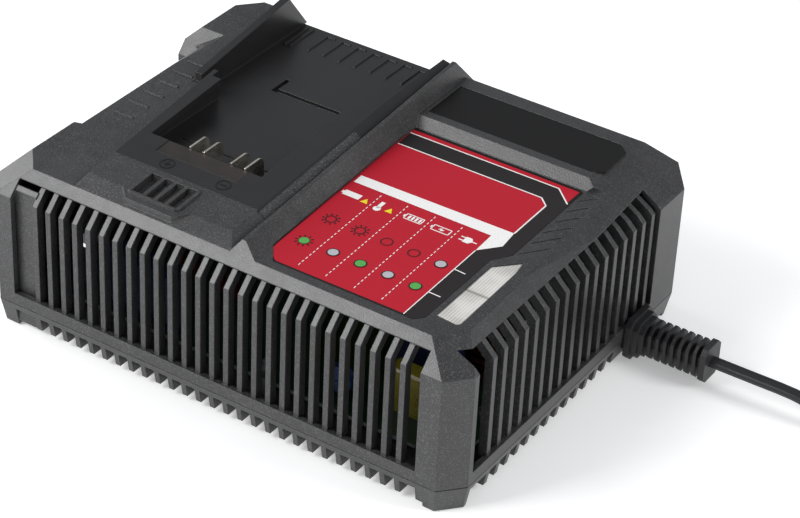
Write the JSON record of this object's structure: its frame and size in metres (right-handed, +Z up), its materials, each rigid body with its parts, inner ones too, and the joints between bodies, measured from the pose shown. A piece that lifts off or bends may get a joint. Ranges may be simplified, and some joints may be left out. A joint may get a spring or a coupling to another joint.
{
  "type": "power tool battery charger",
  "caption": "Desktop battery charger: vented box with a slide-in battery dock and terminal block on top, label, status lens and bare badge plate, cooling fan, mains cord with coil and plug",
  "frame": {"origin": "Centre of the case footprint, on the surface the rubber feet stand on", "axes": "+X toward the side the mains cord leaves from, +Y toward the end the battery slides in from, +Z up"},
  "size_m": [0.461, 0.2129, 0.0811],
  "materials": {
    "case_plastic": "satin with a fine spark-eroded grain",
    "dock_plastic": "smooth satin",
    "terminal_plastic": "satin",
    "nickel_plate": "nickel plated, satin",
    "label_film": "printed film",
    "badge_film": "gloss black film",
    "lens_plastic": "frosted light guide",
    "fan_plastic": "satin",
    "foot_rubber": "matt",
    "zinc_steel": "zinc plated",
    "board_laminate": "solder-masked laminate",
    "ferrite": "sintered ferrite",
    "winding_tape": "polyester tape over copper",
    "can_sleeve": "shrink sleeve over aluminium",
    "sink_aluminium": "extruded, mill finish",
    "epoxy_black": "moulded epoxy",
    "film_yellow": "moulded box",
    "choke_copper": "enamelled copper",
    "varistor_coat": "dipped epoxy",
    "fuse_glass": "clear tube with nickel caps",
    "led_clear": "water clear epoxy",
    "lead_insulation": "extruded insulation",
    "cord_pvc": "flexible sheath, satin",
    "tie_band": "woven hook-and-loop"
  },
  "bodies": {
    "charger": {"upper_housing": "case_plastic", "battery_cradle": "dock_plastic", "lower_housing": "case_plastic", "terminal_block": "terminal_plastic", "contact_blade_positive": "nickel_plate", "contact_blade_cell_sense": "nickel_plate", "contact_blade_thermistor": "nickel_plate", "contact_blade_negative": "nickel_plate", "badge_plate": "badge_film", "label_membrane": "label_film", "status_lens": "lens_plastic", "fan_frame": "fan_plastic", "rubber_feet": "foot_rubber", "case_screws": "zinc_steel", "board_screws": "zinc_steel", "main_board": "board_laminate", "transformer_core": "ferrite", "transformer_winding": "winding_tape", "bulk_capacitor": "can_sleeve", "output_capacitors": "can_sleeve", "primary_heat_sink": "sink_aluminium", "secondary_heat_sink": "sink_aluminium", "power_transistors": "epoxy_black", "bridge_rectifier": "epoxy_black", "film_capacitor": "film_yellow", "common_mode_choke": "choke_copper", "varistor": "varistor_coat", "mains_fuse": "fuse_glass", "port_board": "board_laminate", "port_socket": "nickel_plate", "indicator_board": "board_laminate", "indicator_leds": "led_clear", "battery_leads": "lead_insulation", "mains_leads": "lead_insulation", "strain_relief": "cord_pvc", "mains_cord": "cord_pvc", "cord_coil": "cord_pvc", "coil_tie": "tie_band", "plug_lead": "cord_pvc", "plug_body": "cord_pvc", "plug_pins": "nickel_plate"},
    "fan": {"fan_rotor": "fan_plastic"}
  },
  "joints": [
    {"name": "fan_spin", "type": "hinge", "parent": "charger", "child": "fan", "pos_m": [-0.09, 0, 0.0302], "axis": [1, 0, 0], "continuous": true}
  ]
}
